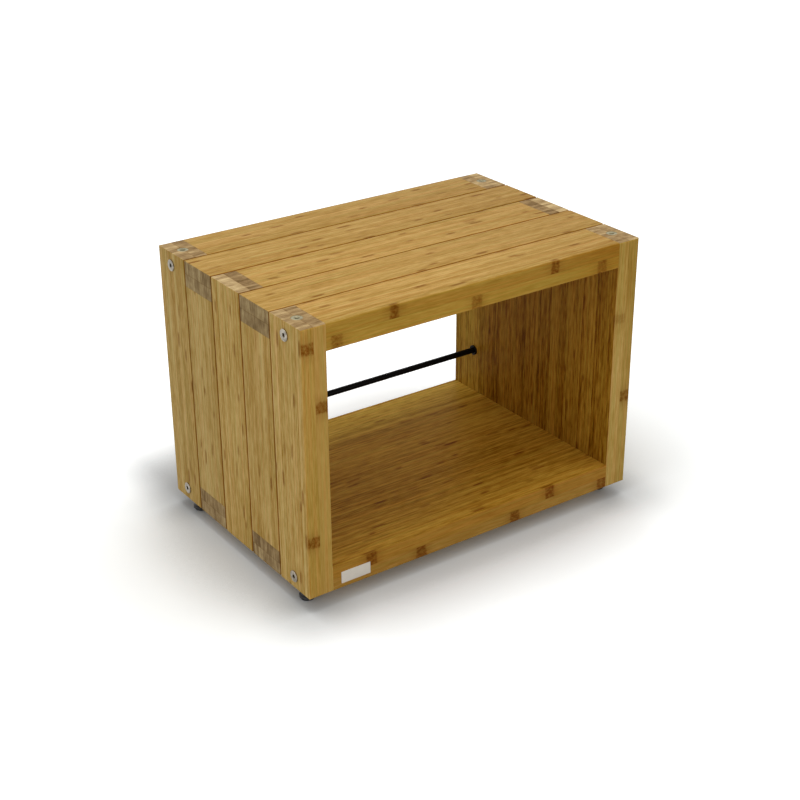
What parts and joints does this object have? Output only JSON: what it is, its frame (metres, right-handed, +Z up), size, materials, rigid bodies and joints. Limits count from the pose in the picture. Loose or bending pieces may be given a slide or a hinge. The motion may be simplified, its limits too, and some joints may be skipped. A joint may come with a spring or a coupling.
{
  "type": "record storage stand",
  "caption": "Open-ended bamboo box on four low levelling feet that holds upright records, with interlocking corners, a black rear stop rod and threaded stacking inserts on top.",
  "frame": {"origin": "on the floor under the middle of the body, with the feet at their rest height", "axes": "+X along the width to the right, +Y from the front to the back, +Z up"},
  "size_m": [0.604, 0.4002, 0.44],
  "materials": {
    "bamboo": "side-pressed bamboo, oiled, satin, with brown nodes and darker end grain",
    "dowel_wood": "plain turned beech",
    "bolt_steel": "zinc-plated, satin",
    "zinc": "dull zinc plating",
    "black_metal": "satin black",
    "black_plastic": "moulded, matt",
    "rubber": "matt",
    "plate": "pale, matt, bare"
  },
  "bodies": {
    "carcase": {"front_left_post": "bamboo", "front_right_post": "bamboo", "front_top_rail": "bamboo", "front_bottom_rail": "bamboo", "second_left_post": "bamboo", "second_right_post": "bamboo", "second_top_rail": "bamboo", "second_bottom_rail": "bamboo", "middle_left_post": "bamboo", "middle_right_post": "bamboo", "middle_top_rail": "bamboo", "middle_bottom_rail": "bamboo", "fourth_left_post": "bamboo", "fourth_right_post": "bamboo", "fourth_top_rail": "bamboo", "fourth_bottom_rail": "bamboo", "rear_left_post": "bamboo", "rear_right_post": "bamboo", "rear_top_rail": "bamboo", "rear_bottom_rail": "bamboo", "left_bolts": "bolt_steel", "left_rail_inserts": "zinc", "left_rod_collar": "black_metal", "right_bolts": "bolt_steel", "right_rail_inserts": "zinc", "right_rod_collar": "black_metal", "top_inserts": "zinc", "underside_inserts": "zinc", "corner_dowels": "dowel_wood", "front_layer_dowels": "dowel_wood", "second_layer_dowels": "dowel_wood", "third_layer_dowels": "dowel_wood", "fourth_layer_dowels": "dowel_wood", "stop_rod": "black_metal", "name_plate": "plate"},
    "front_left_foot": {"front_left_foot_stud": "bolt_steel", "front_left_foot_base": "black_plastic", "front_left_foot_pad": "rubber"},
    "front_right_foot": {"front_right_foot_stud": "bolt_steel", "front_right_foot_base": "black_plastic", "front_right_foot_pad": "rubber"},
    "rear_left_foot": {"rear_left_foot_stud": "bolt_steel", "rear_left_foot_base": "black_plastic", "rear_left_foot_pad": "rubber"},
    "rear_right_foot": {"rear_right_foot_stud": "bolt_steel", "rear_right_foot_base": "black_plastic", "rear_right_foot_pad": "rubber"}
  },
  "joints": [
    {"name": "front_left_level", "type": "slide", "parent": "carcase", "child": "front_left_foot", "axis": [0, 0, 1], "range_m": [-0.003, 0.003]},
    {"name": "front_right_level", "type": "slide", "parent": "carcase", "child": "front_right_foot", "axis": [0, 0, 1], "range_m": [-0.003, 0.003]},
    {"name": "rear_left_level", "type": "slide", "parent": "carcase", "child": "rear_left_foot", "axis": [0, 0, 1], "range_m": [-0.003, 0.003]},
    {"name": "rear_right_level", "type": "slide", "parent": "carcase", "child": "rear_right_foot", "axis": [0, 0, 1], "range_m": [-0.003, 0.003]}
  ]
}
